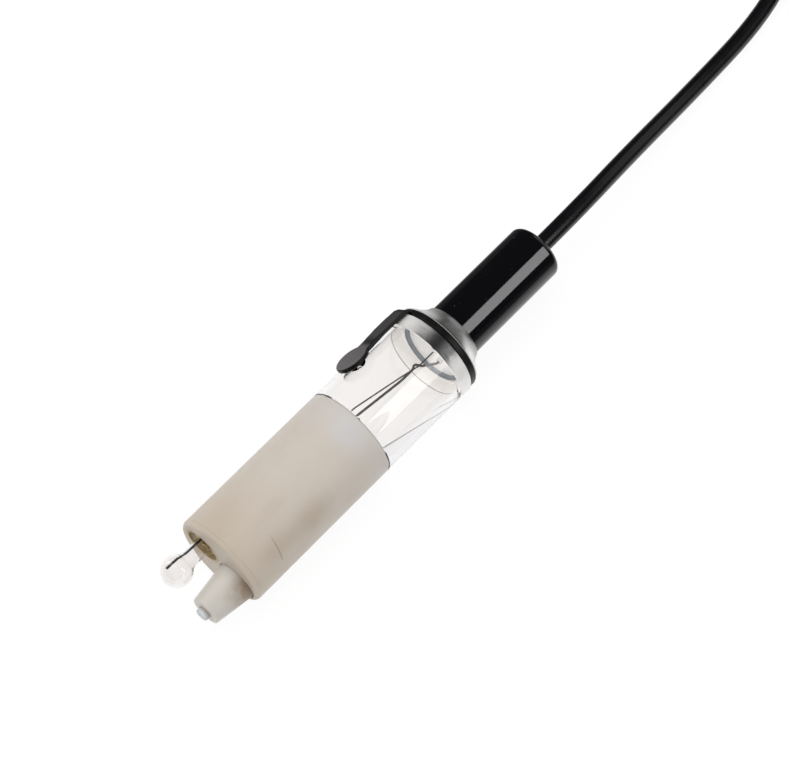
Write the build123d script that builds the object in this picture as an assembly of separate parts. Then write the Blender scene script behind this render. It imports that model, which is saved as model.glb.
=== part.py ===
"""A refillable combination pH electrode lying on its side, with its lead in a tied hank and a bayonet plug.

The electrode's axis runs along X, from the glass bulb at -X to the cable at +X.
A station is a distance along that axis, in millimetres, from the grey sleeve's end face.
The pair plane holds the axis, the bulb and the junction cone: "across" is measured in it, towards the bulb.
"""
from build123d import *
from math import atan2, pi, radians, sqrt, tan
import os

# Body: a grey sleeve, a clear window and a metal collar, all of one diameter
body_diameter = 20.0
sleeve_length = 36.2
window_length = 20.5
window_wall = 1.5
face_rounding = 0.9
end_wall = 9.0
spigot_length = 4.0
spigot_wall = 0.7
sleeve_end_bevel = 0.3
joint_bevel = 0.15
glue_gap = 0.05

# Pair of holes in the end face, and what stands in them
pair_angle = 18.0
bulb_across = 4.45
cone_across = 4.6
recess_diameter = 7.2
recess_depth = 3.0
potting_thickness = 2.2
stem_diameter = 3.5
stem_length = 24.0
glass_wall = 0.25
bulb_diameter = 6.24
bulb_reach = 6.8
neck_rounding = 2.0
bung_length = 2.5
cone_base_diameter = 8.4
cone_tip_diameter = 6.1
cone_length = 8.4
cone_tip_rounding = 0.25
cone_hole_diameter = 8.8
seal_depth = 0.4
seal_length = 2.0
pin_diameter = 2.7
pin_stand_out = 1.1
pin_rounding = 0.2

# Wires inside
inner_wire_diameter = 0.5
lead_diameter = 0.5
reference_wire_diameter = 0.3
reference_wire_across = 0.0
reference_wire_behind = 0.5
reference_wire_straight = 4.0
reference_wire_sag_start = 5.6
reference_wire_sag_across = 0.95
reference_wire_side_across = 2.95
reference_wire_side_height = 4.0
reference_wire_turn_depth = 5.0
reference_wire_turn_across = 3.3
reference_wire_turn_behind = 3.2
reference_wire_end_height = 6.0
reference_wire_end_across = 3.5
reference_wire_end_behind = 3.6
bush_diameter = 1.3
bush_across = -2.1
bush_drop = 0.8

# Collar, with the groove for the rubber band and the shoulder below the cap
skirt_length = 2.9
band_width = 1.65
band_thickness = 1.0
band_proud = 0.15
band_rounding = 0.2
side_clearance = 0.05
shoulder_length = 3.9
shoulder_edge_length = 0.85
shoulder_rounding = 1.5
shoulder_foot_length = 0.85
shoulder_foot_diameter = 14.0
shoulder_foot_rounding = 1.4
shoulder_end_diameter = 12.9
stopper_disc_thickness = 2.1
stopper_seat_width = 0.65
gasket_inset = 1.8
gasket_section = 0.8
collar_top_thickness = 3.6

# Cap
cap_diameter = 12.0
cap_length = 25.2
cap_rounding = 1.3
cap_spigot_diameter = 9.0
cable_socket_depth = 2.5
cable_clearance = 0.1

# Filler hole and the rubber stopper on its strap
stopper_angle = 41.0
filler_hole_diameter = 3.9
filler_hole_from_window_top = 11.3
plug_top_diameter = 3.7
plug_bottom_diameter = 3.3
plug_depth = 1.5
disc_diameter = 7.2
disc_thickness = 1.0
disc_clearance = 0.1
disc_bevel = 0.25
strap_width = 3.5
strap_thickness = 0.95
strap_height = 0.35
strap_ramp_length = 2.5
hinge_from_groove = 0.6
flex_gap = 0.15
lug_foot_depth = 0.5

# Cable, and the hank that its spare length is folded into: two straight banks of turns joined by round folds
cable_diameter = 3.7
floor_gap = 0.02
hank_from_cap = 105.55
hank_run = 36.0
hank_columns = 2
hank_layers = 3
hank_fold_radius = 11.1
hank_edge_rounding = 1.6
hank_lane_y = 8.8
tie_thickness = 0.5
tie_length = 8.0

# Bayonet plug on the far end
plug_before_fold = 4.0
plug_from_middle = 12.0
plug_clearance = 0.1
ring_diameter = 14.5
ring_front_diameter = 12.6
ring_length = 14.4
ring_grip_length = 8.0
ring_bore_diameter = 9.8
ring_web = 3.2
ring_edge_bevel = 0.4
ring_end_gap = 0.15
slot_width = 2.1
slot_seat_growth = 0.15
slot_turn = 70.0
slot_advance = 4.6
journal_diameter = 8.1
contact_bore_diameter = 6.9
running_clearance = 0.05
flange_diameter = 9.5
flange_length = 1.2
contact_recess = 0.6
nut_diameter = 11.0
nut_length = 7.0
nut_bevel = 0.5
nut_flat_depth = 0.5
nut_flat_margin = 1.0
washer_step = 0.3
boot_length = 13.0
boot_rounding = 0.5
boot_into_nut = 1.0
boot_rear_diameter = 5.6
boot_front_diameter = 8.6
boot_socket_depth = 3.0
plug_neck_diameter = 6.0
insulator_length = 9.0
insulator_recess = 4.8
insulator_tube_diameter = 4.8
insulator_tube_bore = 3.0
insulator_setback = 0.5
contact_pin_diameter = 1.35
contact_pin_rounding = 0.3
contact_pin_setback = 0.9

# Places that follow from the sizes above
body_radius = body_diameter / 2
chamber_radius = body_radius - window_wall
spigot_radius = chamber_radius + spigot_wall
stopper_disc_radius = spigot_radius + glue_gap - stopper_seat_width
gasket_radius = chamber_radius - gasket_inset
cable_radius = cable_diameter / 2
window_end = sleeve_length + window_length
groove_start = window_end + skirt_length
groove_end = groove_start + band_width + 2 * side_clearance
band_radius = body_radius + band_proud
groove_radius = band_radius - band_thickness - side_clearance
shoulder_end = groove_end + shoulder_length
cap_end = shoulder_end + cap_length
axis_height = band_radius
filler_station = window_end - filler_hole_from_window_top
disc_underside = body_radius + disc_clearance
strap_inner = body_radius + strap_height
strap_outer = strap_inner + strap_thickness
hinge_station = groove_start - hinge_from_groove
hinge_radius = strap_inner + strap_thickness / 2
ring_radius = ring_diameter / 2
plug_neck_radius = plug_neck_diameter / 2
cable_rise = cable_radius + floor_gap
hank_floor = tie_thickness + cable_radius
hank_top_turn = hank_floor + (hank_layers - 1) * cable_diameter
hank_start_x = cap_end + hank_from_cap
hank_end_x = hank_start_x + hank_run
hank_centre_y = hank_lane_y - hank_fold_radius - (hank_columns - 1) * cable_diameter
hank_top = tie_thickness + hank_layers * cable_diameter
hank_bank_middle = hank_fold_radius + (hank_columns - 1) * cable_radius
plug_rear_x = hank_end_x - plug_before_fold
plug_axis_y = hank_centre_y - plug_from_middle
plug_axis_height = hank_top + ring_radius + plug_clearance
tail_start_y = hank_centre_y + hank_bank_middle
tail_corner = 0.3 * (tail_start_y - plug_axis_y)
nut_start = boot_length - boot_into_nut
nut_end = nut_start + nut_length
ring_start = nut_end + 2 * ring_end_gap
ring_back = ring_start + ring_web
ring_end = ring_start + ring_length
contact_end = ring_end - contact_recess


def spun(*corners):
    """Solid of revolution about the X axis from (station, radius) corners."""
    return revolve(make_face(Polyline(*corners, close=True)), Axis.X)


def rod(start, end, diameter):
    """Round bar along the X axis."""
    return spun((start, 0), (end, 0), (end, diameter / 2), (start, diameter / 2))


def in_pair_plane(part):
    """Turns a part from the XY plane into the pair plane."""
    return Rot(pair_angle, 0, 0) * part


def rim(part, station, radius):
    """The circular edges of a given station and radius."""
    return [
        edge
        for edge in part.edges().filter_by(GeomType.CIRCLE)
        if abs(edge.arc_center.X - station) < 1e-4 and abs(edge.radius - radius) < 1e-4
    ]


def wire_along(points, diameter, bend):
    """Round wire through points, with every corner bent to one radius."""
    path = FilletPolyline(*points, radius=bend)
    section = Plane(origin=path @ 0, z_dir=path % 0) * Circle(diameter / 2)
    return sweep(section, path=path)


def lower_sleeve():
    """Grey moulded sleeve: a solid end wall with two holes, and a chamber that takes the window's spigot."""
    socket_radius = spigot_radius + glue_gap
    socket_start = sleeve_length - spigot_length - glue_gap
    sleeve = spun(
        (0, 0),
        (0, body_radius),
        (sleeve_length - sleeve_end_bevel, body_radius),
        (sleeve_length, body_radius - sleeve_end_bevel),
        (sleeve_length, socket_radius),
        (socket_start, socket_radius),
        (socket_start, chamber_radius),
        (end_wall, chamber_radius),
        (end_wall, 0),
    )
    sleeve = fillet(rim(sleeve, 0, body_radius), face_rounding)
    recess = Pos(0, bulb_across, 0) * rod(0, recess_depth, recess_diameter)
    stem_hole = Pos(0, bulb_across, 0) * rod(0, end_wall, stem_diameter + 2 * glue_gap)
    cone_hole = Pos(0, -cone_across, 0) * rod(0, end_wall, cone_hole_diameter)
    return sleeve - in_pair_plane(recess + stem_hole + cone_hole)


def blown_shape(radius, ball_radius, ball_centre, end, rounding):
    """Rod along the X axis that swells into a ball at its start through a hollow curve, like blown glass."""
    curve_station = ball_centre + sqrt((ball_radius + rounding) ** 2 - (radius + rounding) ** 2)
    share = ball_radius / (ball_radius + rounding)
    meeting = (ball_centre + (curve_station - ball_centre) * share, (radius + rounding) * share)
    slope = sqrt((curve_station - meeting[0]) ** 2 + (radius - meeting[1]) ** 2) / 2
    sag = rounding - sqrt(rounding**2 - slope**2)
    chord = Vector(curve_station - meeting[0], radius - meeting[1]).normalized()
    chord_middle = Vector((curve_station + meeting[0]) / 2, (radius + meeting[1]) / 2)
    middle = chord_middle + sag * Vector(chord.Y, -chord.X)
    outline = [
        ThreePointArc((ball_centre - ball_radius, 0), (ball_centre, ball_radius), meeting),
        ThreePointArc(meeting, middle, (curve_station, radius)),
        Polyline((curve_station, radius), (end, radius), (end, 0), (ball_centre - ball_radius, 0)),
    ]
    return revolve(make_face(outline), Axis.X)


def glass_electrode():
    """Stem and bulb of thin glass, blown in one piece and open at the top of the stem."""
    inner_radius = stem_diameter / 2 - glass_wall
    inner_ball = bulb_diameter / 2 - glass_wall
    outside = blown_shape(stem_diameter / 2, bulb_diameter / 2, -bulb_reach, stem_length, neck_rounding)
    inside = blown_shape(inner_radius, inner_ball, -bulb_reach, stem_length, neck_rounding)
    return in_pair_plane(Pos(0, bulb_across, 0) * (outside - inside))


def stem_bung():
    """Rubber bung in the top of the stem, with a hole for the wire."""
    diameter = stem_diameter - 2 * glass_wall - 2 * glue_gap
    bung = rod(stem_length - bung_length, stem_length, diameter)
    hole = rod(stem_length - bung_length, stem_length, inner_wire_diameter + 2 * glue_gap)
    return in_pair_plane(Pos(0, bulb_across, 0) * (bung - hole))


def inner_electrode_wire():
    """Dark silver wire, slightly kinked, that hangs from the bung into the bulb."""
    points = [
        (stem_length + 1.5, bulb_across, 0),
        (stem_length - bung_length - 1.0, bulb_across, 0),
        (end_wall, bulb_across + 0.75, 0),
        (-3.4, bulb_across + 1.25, 0),
        (-5.0, bulb_across + 1.62, 0),
        (-7.9, bulb_across + 1.7, 0),
    ]
    return in_pair_plane(wire_along(points, inner_wire_diameter, 0.8))


def stem_potting():
    """Amber resin that holds the stem at the bottom of its recess."""
    start = recess_depth - potting_thickness
    resin = rod(start, recess_depth, recess_diameter - 2 * glue_gap)
    hole = rod(start, recess_depth, stem_diameter + 2 * glue_gap)
    return in_pair_plane(Pos(0, bulb_across, 0) * (resin - hole))


def junction_cone():
    """Tapered junction housing, bored for the porous pin."""
    cone = spun(
        (-cone_length, 0),
        (-cone_length, cone_tip_diameter / 2),
        (0, cone_base_diameter / 2),
        (end_wall, cone_base_diameter / 2),
        (end_wall, 0),
    )
    cone = fillet(rim(cone, -cone_length, cone_tip_diameter / 2), cone_tip_rounding)
    bore = rod(-cone_length, end_wall, pin_diameter + 2 * glue_gap)
    return in_pair_plane(Pos(0, -cone_across, 0) * (cone - bore))


def junction_pin():
    """Porous ceramic pin through the cone, standing out as a small nub."""
    tip = -cone_length - pin_stand_out
    pin = rod(tip, end_wall, pin_diameter)
    pin = fillet(rim(pin, tip, pin_diameter / 2), pin_rounding)
    return in_pair_plane(Pos(0, -cone_across, 0) * pin)


def junction_seal():
    """Dark ring that fills the gap round the cone, a little below the end face."""
    outer = cone_hole_diameter / 2 - glue_gap
    inner = cone_base_diameter / 2 + glue_gap
    end = seal_depth + seal_length
    seal = spun((seal_depth, inner), (seal_depth, outer), (end, outer), (end, inner))
    return in_pair_plane(Pos(0, -cone_across, 0) * seal)


def at_stopper_angle(part):
    """Turns a part made on the +Z side of the axis to the stopper's side."""
    return Rot(stopper_angle - 90, 0, 0) * part


def reservoir_tube():
    """Clear window tube with a spigot at each end and the filler hole in its side."""
    lower = sleeve_length - spigot_length
    upper = groove_start - 2 * glue_gap
    tube = spun(
        (lower, chamber_radius),
        (lower, spigot_radius),
        (sleeve_length, spigot_radius),
        (sleeve_length, body_radius - joint_bevel),
        (sleeve_length + joint_bevel, body_radius),
        (window_end - joint_bevel, body_radius),
        (window_end, body_radius - joint_bevel),
        (window_end, spigot_radius),
        (upper, spigot_radius),
        (upper, chamber_radius),
    )
    hole = Pos(filler_station, 0, body_radius) * Cylinder(filler_hole_diameter / 2, body_radius)
    return tube - at_stopper_angle(hole)


def top_collar():
    """Collar: skirt over the window, groove for the band, rounded shoulder and a bore for the cap."""
    skirt_inner = spigot_radius + glue_gap
    shoulder_edge = groove_end + shoulder_edge_length
    shoulder_foot = shoulder_end - shoulder_foot_length
    drop = body_radius - shoulder_foot_diameter / 2
    edge_turn = atan2(drop, shoulder_foot - shoulder_edge)
    edge_limit = 0.95 * shoulder_edge_length / tan(edge_turn / 2)
    shoulder = FilletPolyline(
        (groove_end, body_radius),
        (shoulder_edge, body_radius),
        (shoulder_foot, shoulder_foot_diameter / 2),
        (shoulder_end, shoulder_end_diameter / 2),
        radius=[min(shoulder_rounding, edge_limit), shoulder_foot_rounding],
    )
    rest = Polyline(
        (shoulder_end, shoulder_end_diameter / 2),
        (shoulder_end, cap_spigot_diameter / 2 + glue_gap),
        (shoulder_end - collar_top_thickness, cap_spigot_diameter / 2 + glue_gap),
        (shoulder_end - collar_top_thickness, stopper_disc_radius + glue_gap),
        (groove_start - glue_gap, stopper_disc_radius + glue_gap),
        (groove_start - glue_gap, skirt_inner),
        (window_end, skirt_inner),
        (window_end, body_radius - joint_bevel),
        (window_end + joint_bevel, body_radius),
        (groove_start, body_radius),
        (groove_start, groove_radius),
        (groove_end, groove_radius),
        (groove_end, body_radius),
    )
    return revolve(make_face([*shoulder.edges(), *rest.edges()]), Axis.X)


def top_stopper():
    """White disc that closes the chamber under the collar's top, with holes for the two wires."""
    start = groove_start - glue_gap
    end = start + stopper_disc_thickness
    disc = rod(start, end, 2 * stopper_disc_radius)
    bush_hole = Pos(0, bush_across, 0) * rod(start, end, bush_diameter + 2 * glue_gap)
    wire_hole = rod(start, end, reference_wire_diameter + 2 * glue_gap)
    wire_hole = Pos(0, reference_wire_across, -reference_wire_behind) * wire_hole
    return disc - in_pair_plane(bush_hole + wire_hole)


def collar_gasket():
    """Blue-grey rubber ring under the white disc."""
    end = groove_start - glue_gap
    inner = gasket_radius - gasket_section / 2
    outer = gasket_radius + gasket_section / 2
    gasket = spun((end - gasket_section, inner), (end - gasket_section, outer), (end, outer), (end, inner))
    edges = rim(gasket, end - gasket_section, inner) + rim(gasket, end - gasket_section, outer)
    return fillet(edges, gasket_section / 4)


def lead_bush():
    """Small tube through the white disc that the signal lead comes out of."""
    start = groove_start - bush_drop
    end = groove_start - glue_gap + stopper_disc_thickness
    bush = rod(start, end, bush_diameter) - rod(start, end, lead_diameter + 2 * glue_gap)
    return in_pair_plane(Pos(0, bush_across, 0) * bush)


def signal_lead():
    """Lead from the bush, with a hooked bend at its top, down to the stem's wire."""
    bush_end = groove_start - bush_drop
    points = [
        (groove_start + 1.5, bush_across, 0),
        (bush_end - 0.4, bush_across, 0),
        (bush_end - 1.3, bush_across + 0.55, 0),
        (bush_end - 3.0, bush_across + 1.7, 0),
        (bush_end - 3.9, 0.85, 0),
        (bush_end - 4.9, 0.35, 0),
        (window_end - 6.0, 0.38, 0),
        (sleeve_length + 4.0, 1.47, 0),
        (sleeve_length - 3.0, 2.3, 0),
        (stem_length + 4.5, bulb_across - 0.2, 0),
        (stem_length + 1.55, bulb_across, 0),
    ]
    return in_pair_plane(wire_along(points, lead_diameter, 0.5))


def reference_wire():
    """Fine silver wire that runs down beside the lead, parts from it and ends beside the stem."""
    behind = -reference_wire_behind
    points = [
        (groove_start + 1.5, reference_wire_across, behind),
        (groove_start - reference_wire_straight, reference_wire_across, behind),
        (window_end - reference_wire_sag_start, reference_wire_sag_across, behind),
        (sleeve_length + reference_wire_side_height, reference_wire_side_across, behind),
        (sleeve_length - reference_wire_turn_depth, reference_wire_turn_across, -reference_wire_turn_behind),
        (end_wall + reference_wire_end_height, reference_wire_end_across, -reference_wire_end_behind),
    ]
    return in_pair_plane(wire_along(points, reference_wire_diameter, 0.5))


def filler_band():
    """Rubber band in the collar's groove, with the lug that the strap grows out of."""
    start = groove_start + side_clearance
    end = start + band_width
    band_inner = groove_radius + side_clearance
    band = spun((start, band_inner), (start, band_radius), (end, band_radius), (end, band_inner))
    band = fillet(rim(band, start, band_radius) + rim(band, end, band_radius), band_rounding)
    lug_start = hinge_station + strap_thickness / 2 + flex_gap
    lug_base = body_radius + disc_clearance
    lug = Pos((lug_start + end) / 2, 0, (lug_base + strap_outer) / 2) * Box(
        end - lug_start, strap_width, strap_outer - lug_base
    )
    far_top = lug.edges().filter_by(Axis.Y).sort_by(lambda edge: edge.center().X + edge.center().Z)[-1]
    lug = fillet(far_top, strap_outer - lug_base - band_rounding)
    foot = Pos((start + end) / 2, 0, lug_base) * Box(band_width, strap_width, 2 * lug_foot_depth)
    return band + at_stopper_angle(lug + foot)


def filler_stopper():
    """Rubber strap, disc and tapered plug in one moulding; the plug sits in the filler hole."""
    disc_top = disc_underside + disc_thickness
    disc_middle = disc_underside + disc_thickness / 2
    disc = Pos(filler_station, 0, disc_middle) * Cylinder(disc_diameter / 2, disc_thickness)
    disc = chamfer(disc.faces().sort_by(Axis.Z)[-1].edges(), disc_bevel)
    plug = Pos(filler_station, 0, disc_underside - plug_depth / 2) * Cone(
        plug_bottom_diameter / 2, plug_top_diameter / 2, plug_depth
    )
    side = make_face(
        Polyline(
            (filler_station, disc_top - strap_thickness),
            (filler_station, disc_top - disc_bevel / 2),
            (filler_station + disc_diameter / 2, disc_top - disc_bevel / 2),
            (filler_station + disc_diameter / 2 + strap_ramp_length, strap_outer),
            (hinge_station, strap_outer),
            (hinge_station, strap_inner),
            (filler_station + disc_diameter / 2 + strap_ramp_length, strap_inner),
            (filler_station + disc_diameter / 2, disc_top - strap_thickness),
            close=True,
        )
    )
    strap = extrude(Plane.XZ * side, strap_width / 2, both=True)
    root = Pos(hinge_station, 0, hinge_radius) * Rot(90, 0, 0) * Cylinder(strap_thickness / 2, strap_width)
    return at_stopper_angle(disc + plug + strap + root)


def cap():
    """Black moulded cap with a rounded end and a socket that the cable leaves."""
    body = spun(
        (shoulder_end - collar_top_thickness + glue_gap, 0),
        (shoulder_end - collar_top_thickness + glue_gap, cap_spigot_diameter / 2),
        (shoulder_end, cap_spigot_diameter / 2),
        (shoulder_end, cap_diameter / 2),
        (cap_end, cap_diameter / 2),
        (cap_end, 0),
    )
    body = fillet(rim(body, cap_end, cap_diameter / 2), cap_rounding)
    return body - rod(cap_end - cable_socket_depth, cap_end, cable_diameter + 2 * cable_clearance)


# The cable's route, chosen by hand: (x, y, z) with z from the floor
cable_route = [
    (cap_end - cable_socket_depth, 0, axis_height),
    (cap_end + 11.05, 0, axis_height),
    (cap_end + 30.55, 1.7, 6.9),
    (cap_end + 52.55, 3.4, cable_rise + 0.3),
    (cap_end + 76.55, 4.3, cable_rise),
    (hank_start_x - 13.0, hank_lane_y - 0.25, hank_floor),
    (hank_start_x, hank_lane_y, hank_floor),
]
tail_route = [
    (hank_end_x - 14.0, tail_start_y, hank_top_turn),
    (hank_end_x + 6.2, tail_start_y, hank_top_turn + cable_diameter),
    (hank_end_x + 13.5, tail_start_y - tail_corner, plug_axis_height - 3.9),
    (hank_end_x + 13.5, plug_axis_y + tail_corner, plug_axis_height - 2.1),
    (hank_end_x + 6.2, plug_axis_y, plug_axis_height - 0.5),
    (plug_rear_x - boot_socket_depth, plug_axis_y, plug_axis_height),
]


def bend_radii(route):
    """The arc at each inner point: 0.45 of the shorter run, over the tangent of half the turn."""
    radii = []
    for before, point, after in zip(route, route[1:], route[2:]):
        arriving = Vector(*point) - Vector(*before)
        leaving = Vector(*after) - Vector(*point)
        shorter = min(arriving.length, leaving.length)
        radii.append(0.45 * shorter / tan(radians(arriving.get_angle(leaving) / 2)))
    return radii


def cord_along(route):
    """Cable along straight runs joined by tangent arcs."""
    radii = bend_radii(route)
    print("arc radii:", [round(radius, 1) for radius in radii])
    path = FilletPolyline(*route, radius=radii)
    section = Plane(origin=path @ 0, z_dir=path % 0) * Circle(cable_radius)
    tube = sweep(section, path=path)
    full_volume = pi * cable_radius**2 * path.length
    print(f"length {path.length:.1f}, volume over section times length {tube.volume / full_volume:.5f}")
    return tube


def hank_section(grow):
    """Rounded section of one bank of turns, in the YZ plane, grown all round."""
    width = hank_columns * cable_diameter + 2 * grow
    height = hank_layers * cable_diameter + 2 * grow
    section = Pos(hank_bank_middle, tie_thickness + hank_layers * cable_radius) * RectangleRounded(
        width, height, hank_edge_rounding + grow
    )
    return Plane.YZ * section


def cable_hank():
    """Outer shape of the folded part of the cable."""
    fold = revolve(hank_section(0), Axis.Z, 180)
    bank = extrude(hank_section(0), hank_run)
    far_fold = Pos(hank_run, 0, 0) * Rot(0, 0, 180) * fold
    return Pos(hank_start_x, hank_centre_y, 0) * (fold + bank + mirror(bank, Plane.XZ) + far_fold)


def hank_tie():
    """Strap tie round the middle of the bank at +Y."""
    frame = hank_section(tie_thickness) - hank_section(glue_gap)
    return Pos((hank_run - tie_length) / 2, 0, 0) * extrude(frame, tie_length)


def on_plug_axis(part):
    """Turns a plug piece, made from its rear towards +X, to point to -X, and moves it to its place on the hank."""
    return Pos(plug_rear_x, plug_axis_y, plug_axis_height) * Rot(0, 0, 180) * part


def plug_boot():
    """Tapered rubber sleeve round the cable behind the plug."""
    boot = spun(
        (0, 0),
        (0, boot_rear_diameter / 2),
        (nut_start, boot_front_diameter / 2),
        (nut_start, plug_neck_radius),
        (boot_length, plug_neck_radius),
        (boot_length, 0),
    )
    boot = fillet(rim(boot, 0, boot_rear_diameter / 2), boot_rounding)
    return on_plug_axis(boot - rod(0, boot_socket_depth, cable_diameter + 2 * cable_clearance))


def plug_nut():
    """Clamp nut with two spanner flats."""
    nut = spun(
        (nut_start, plug_neck_radius + glue_gap),
        (nut_start, nut_diameter / 2 - nut_bevel),
        (nut_start + nut_bevel, nut_diameter / 2),
        (nut_end, nut_diameter / 2),
        (nut_end, plug_neck_radius + glue_gap),
    )
    flat = Pos(nut_start + nut_length / 2, 0, nut_diameter / 2) * Box(
        nut_length - 2 * nut_flat_margin, nut_diameter, 2 * nut_flat_depth
    )
    return on_plug_axis(nut - flat - mirror(flat, Plane.XY))


def plug_body():
    """Journal that the ring turns on, with the flange that keeps it and the front contact sleeve."""
    washer_end = ring_start - ring_end_gap
    flange_start = ring_back + ring_end_gap
    body = spun(
        (boot_length, 0),
        (boot_length, plug_neck_radius),
        (nut_end, plug_neck_radius),
        (nut_end, nut_diameter / 2 - washer_step),
        (washer_end, nut_diameter / 2 - washer_step),
        (washer_end, journal_diameter / 2),
        (flange_start, journal_diameter / 2),
        (flange_start, flange_diameter / 2),
        (flange_start + flange_length, flange_diameter / 2),
        (flange_start + flange_length, journal_diameter / 2),
        (contact_end, journal_diameter / 2),
        (contact_end, contact_bore_diameter / 2),
        (contact_end - insulator_length, contact_bore_diameter / 2),
        (contact_end - insulator_length, 0),
    )
    return on_plug_axis(body)


def plug_insulator():
    """White insulator inside the contact sleeve, hollowed at the front round the pin."""
    start = contact_end - insulator_length
    outer = contact_bore_diameter / 2 - glue_gap
    hole = contact_pin_diameter / 2 + glue_gap
    insulator = spun(
        (start, hole),
        (start, outer),
        (contact_end - insulator_recess, outer),
        (contact_end - insulator_recess, insulator_tube_diameter / 2),
        (contact_end - insulator_setback, insulator_tube_diameter / 2),
        (contact_end - insulator_setback, insulator_tube_bore / 2),
        (contact_end - insulator_recess, insulator_tube_bore / 2),
        (contact_end - insulator_recess, hole),
    )
    return on_plug_axis(insulator)


def contact_pin():
    """Gilt centre pin with a rounded tip."""
    tip = contact_end - contact_pin_setback
    pin = rod(contact_end - insulator_length, tip, contact_pin_diameter)
    return on_plug_axis(fillet(rim(pin, tip, contact_pin_diameter / 2), contact_pin_rounding))


def bayonet_slot():
    """Helical slot cut from the ring's mouth, as a row of round cuts that ends in a wider seat."""
    steps = 12
    wall = ring_diameter - ring_bore_diameter
    cutter = None
    for step in range(steps + 1):
        share = step / steps
        radius = slot_width / 2 + (slot_seat_growth if step == steps else 0)
        peg = Pos(0, 0, (ring_bore_diameter + wall) / 2) * Cylinder(radius, wall)
        peg = Pos(ring_end - slot_advance * share, 0, 0) * Rot(slot_turn * share, 0, 0) * peg
        cutter = peg if cutter is None else cutter + peg
    return cutter


def bayonet_ring():
    """Turning ring with a knurled grip, a smooth nose and two helical slots."""
    ring = spun(
        (ring_start, journal_diameter / 2 + running_clearance),
        (ring_start, ring_diameter / 2),
        (ring_start + ring_grip_length, ring_diameter / 2),
        (ring_start + ring_grip_length, ring_front_diameter / 2),
        (ring_end, ring_front_diameter / 2),
        (ring_end, ring_bore_diameter / 2),
        (ring_back, ring_bore_diameter / 2),
        (ring_back, journal_diameter / 2 + running_clearance),
    )
    rear_edge = rim(ring, ring_start, ring_diameter / 2)
    front_edge = rim(ring, ring_start + ring_grip_length, ring_diameter / 2)
    ring = chamfer(rear_edge + front_edge, ring_edge_bevel)
    slot = bayonet_slot()
    return on_plug_axis(ring - slot - Rot(180, 0, 0) * slot)


electrode_nodes = {
    "lower_sleeve": lower_sleeve(),
    "glass_electrode": glass_electrode(),
    "inner_electrode_wire": inner_electrode_wire(),
    "stem_bung": stem_bung(),
    "stem_potting": stem_potting(),
    "junction_cone": junction_cone(),
    "junction_pin": junction_pin(),
    "junction_seal": junction_seal(),
    "reservoir_tube": reservoir_tube(),
    "reference_wire": reference_wire(),
    "signal_lead": signal_lead(),
    "lead_bush": lead_bush(),
    "top_stopper": top_stopper(),
    "collar_gasket": collar_gasket(),
    "top_collar": top_collar(),
    "filler_band": filler_band(),
    "filler_stopper": filler_stopper(),
    "cap": cap(),
}
lead_nodes = {
    "cable": cord_along(cable_route),
    "cable_hank": cable_hank(),
    "hank_tie_near": Pos(hank_start_x, hank_centre_y, 0) * mirror(hank_tie(), Plane.XZ),
    "hank_tie_far": Pos(hank_start_x, hank_centre_y, 0) * hank_tie(),
    "cable_tail": cord_along(tail_route),
    "plug_boot": plug_boot(),
    "plug_nut": plug_nut(),
    "plug_body": plug_body(),
    "plug_insulator": plug_insulator(),
    "contact_pin": contact_pin(),
    "bayonet_ring": bayonet_ring(),
}

# The origin is the bottom centre of the electrode's own box, so that it stands on the floor
raised_parts = [Pos(0, 0, axis_height) * part for part in electrode_nodes.values()]
own_box = Compound(children=raised_parts).bounding_box()
centre_x = (own_box.min.X + own_box.max.X) / 2
centre_y = (own_box.min.Y + own_box.max.Y) / 2
to_origin = Pos(-centre_x, -centre_y, -own_box.min.Z)
print("own box", own_box, "shift", round(-centre_x, 4), round(-centre_y, 4), round(-own_box.min.Z, 4))

os.makedirs("parts", exist_ok=True)
for name, part in electrode_nodes.items():
    export_step(to_origin * Pos(0, 0, axis_height) * part, f"parts/{name}.step")
for name, part in lead_nodes.items():
    export_step(to_origin * part, f"parts/{name}.step")
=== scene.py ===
import math

import bpy
from mathutils import Matrix, Vector


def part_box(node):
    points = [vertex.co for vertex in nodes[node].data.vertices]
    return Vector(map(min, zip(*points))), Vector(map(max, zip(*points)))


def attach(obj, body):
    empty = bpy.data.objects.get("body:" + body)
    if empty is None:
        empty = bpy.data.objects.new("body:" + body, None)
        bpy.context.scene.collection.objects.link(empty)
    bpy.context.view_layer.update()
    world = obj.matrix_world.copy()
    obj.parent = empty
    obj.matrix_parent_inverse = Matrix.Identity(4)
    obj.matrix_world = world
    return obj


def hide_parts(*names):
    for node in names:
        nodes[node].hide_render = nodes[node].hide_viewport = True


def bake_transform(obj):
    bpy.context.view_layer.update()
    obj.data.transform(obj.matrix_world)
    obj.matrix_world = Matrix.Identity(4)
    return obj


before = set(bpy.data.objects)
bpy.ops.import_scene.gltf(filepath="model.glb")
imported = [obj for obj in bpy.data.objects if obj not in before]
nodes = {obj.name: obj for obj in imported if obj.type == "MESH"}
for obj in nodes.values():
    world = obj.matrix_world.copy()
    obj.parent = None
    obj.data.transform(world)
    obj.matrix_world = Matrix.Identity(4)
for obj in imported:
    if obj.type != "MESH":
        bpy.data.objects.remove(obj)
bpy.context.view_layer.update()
mm = 0.001

# Stations are millimetres along the electrode's axis from the grey sleeve's end face.
sleeveLow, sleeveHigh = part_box("lower_sleeve")
faceX = sleeveLow.x / mm
axisY = (sleeveLow.y + sleeveHigh.y) / 2 / mm
axisZ = (sleeveLow.z + sleeveHigh.z) / 2 / mm
pairAngle = math.radians(18)  # the plane of the bulb and the cone, from level
stopperAngle = math.radians(41)  # the side that the filler stopper is on, from level


def spot(station, side=0.0, up=0.0):  # a place by its station and its two distances from the axis
    return Vector(((station + faceX) * mm, (side + axisY) * mm, (up + axisZ) * mm))


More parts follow.
